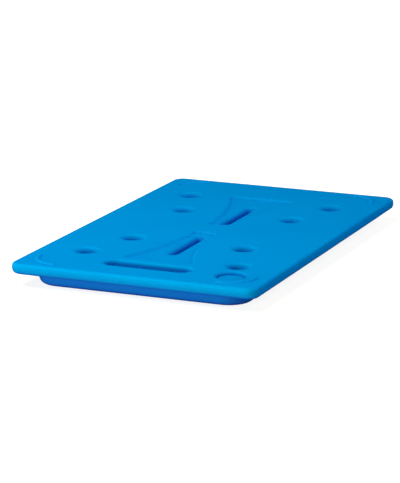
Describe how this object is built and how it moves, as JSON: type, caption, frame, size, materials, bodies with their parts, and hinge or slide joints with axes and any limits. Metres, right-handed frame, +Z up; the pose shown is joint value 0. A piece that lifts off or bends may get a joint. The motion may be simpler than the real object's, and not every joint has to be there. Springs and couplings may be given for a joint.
{
  "type": "reusable ice pack",
  "caption": "Flat sealed cold plate for a full-size pan space, with an overhanging rim, a narrower drafted body, sunk pockets and slots, a grip recess and low corner ridges for stacking.",
  "frame": {"origin": "middle of the flat base", "axes": "+Z up out of the pocketed top face, Y along the long side with the grip recess and the filler plug at the -Y end, plug towards +X"},
  "size_m": [0.325, 0.53, 0.0316],
  "materials": {
    "shell_plastic": "fine moulded grain, satin",
    "plug_plastic": "turned smooth by the welding tool, satin"
  },
  "bodies": {
    "root": {"plate_body": "shell_plastic", "filler_plug": "plug_plastic"}
  },
  "joints": []
}
